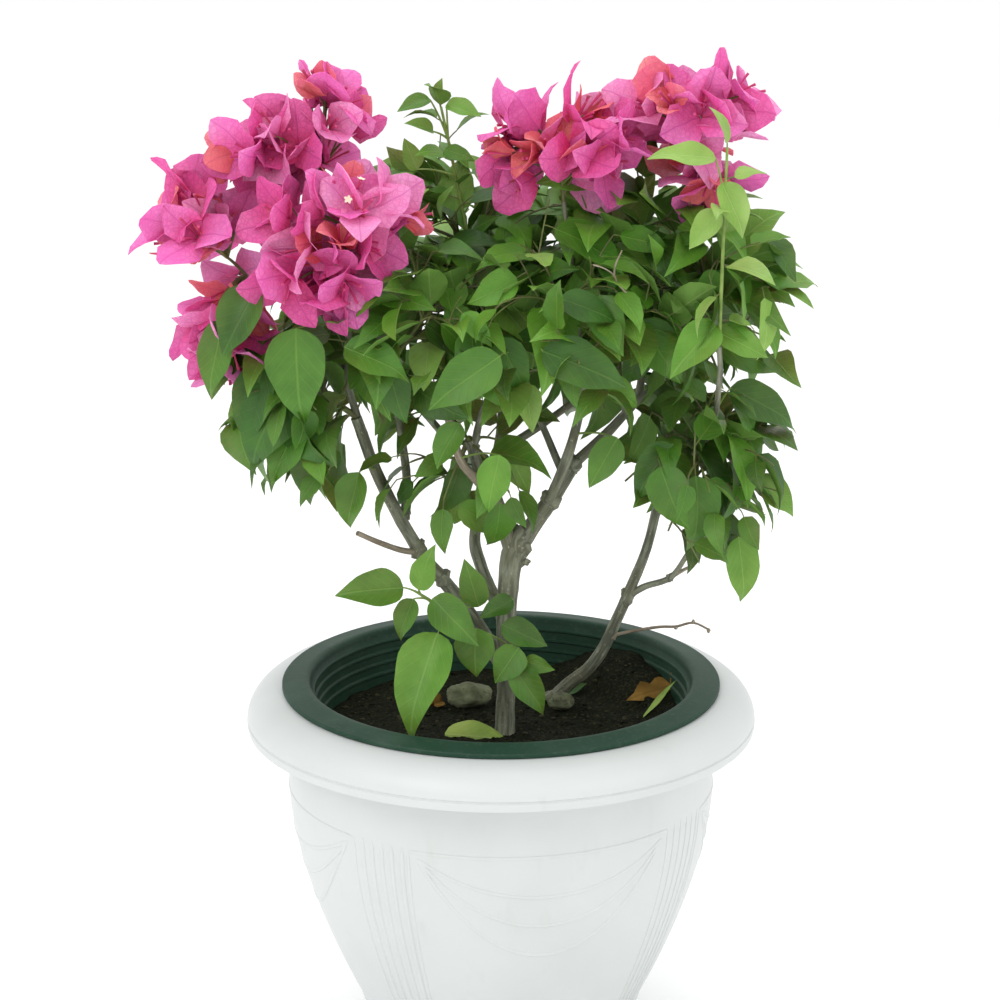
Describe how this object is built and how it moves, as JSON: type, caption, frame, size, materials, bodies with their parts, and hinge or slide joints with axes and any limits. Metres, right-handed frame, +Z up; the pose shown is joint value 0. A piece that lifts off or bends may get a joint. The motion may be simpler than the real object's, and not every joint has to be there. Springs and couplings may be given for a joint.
{
  "type": "potted bougainvillea bush",
  "caption": "Bougainvillea bush in bloom with several bare stems, standing in a round white planter with a broad rolled lip and a dark green liner pot filled with soil.",
  "frame": {"origin": "centre of the planter's flat underside", "axes": "+Z up; the side of the bush shown in the picture faces -Y; +X is to the right of that side"},
  "size_m": [0.5077, 0.4, 0.7969],
  "materials": {
    "white_plastic": "satin white moulded plastic",
    "green_plastic": "dark green nursery-pot plastic, dusty",
    "soil": "dark crumbly potting soil",
    "stone": "rough grey stone",
    "dry_leaf": "dry brown leaf",
    "shed_leaf": "fallen yellow-green leaf",
    "bark": "grey-brown smooth bark with pale streaks",
    "dead_wood": "dry bare wood",
    "leaves": "green leaves with a soft sheen",
    "bracts": "papery magenta-pink bracts"
  },
  "bodies": {
    "root": {"bough_back_left": "bark", "bough_back_right": "bark", "bough_centre": "bark", "bough_core": "bark", "bough_cross": "bark", "bough_flowers_far": "bark", "bough_flowers_inner": "bark", "bough_flowers_left": "bark", "bough_flowers_outer": "bark", "bough_flowers_right": "bark", "bough_left_fork": "bark", "bough_left_mid": "bark", "bough_mid_high": "bark", "bough_right": "bark", "bough_right_high": "bark", "bough_right_out": "bark", "bough_right_side": "bark", "bough_shoot_right": "bark", "bough_sprout": "bark", "dead_fork": "dead_wood", "dead_twig": "dead_wood", "flowers_left_inner": "bracts", "flowers_left_outer": "bracts", "flowers_left_top": "bracts", "flowers_right_far": "bracts", "flowers_right_inner": "bracts", "leaf_blade": "shed_leaf", "leaf_dry_left": "dry_leaf", "leaf_dry_right": "dry_leaf", "leaf_fallen": "shed_leaf", "leaves_back": "leaves", "leaves_back_left": "leaves", "leaves_back_right": "leaves", "leaves_core": "leaves", "leaves_front_left": "leaves", "leaves_front_right": "leaves", "leaves_left": "leaves", "leaves_low_centre": "leaves", "leaves_lower_right": "leaves", "leaves_right": "leaves", "leaves_top_right": "leaves", "liner_pot": "green_plastic", "planter": "white_plastic", "shoot_mid": "leaves", "shoot_right": "leaves", "soil": "soil", "sprout_front": "leaves", "sprout_left": "leaves", "stone_left": "stone", "stone_right": "stone", "stub_centre": "dead_wood", "stub_left": "dead_wood", "trunk_back": "bark", "trunk_left": "bark", "trunk_main": "bark", "trunk_right": "bark"}
  },
  "joints": []
}
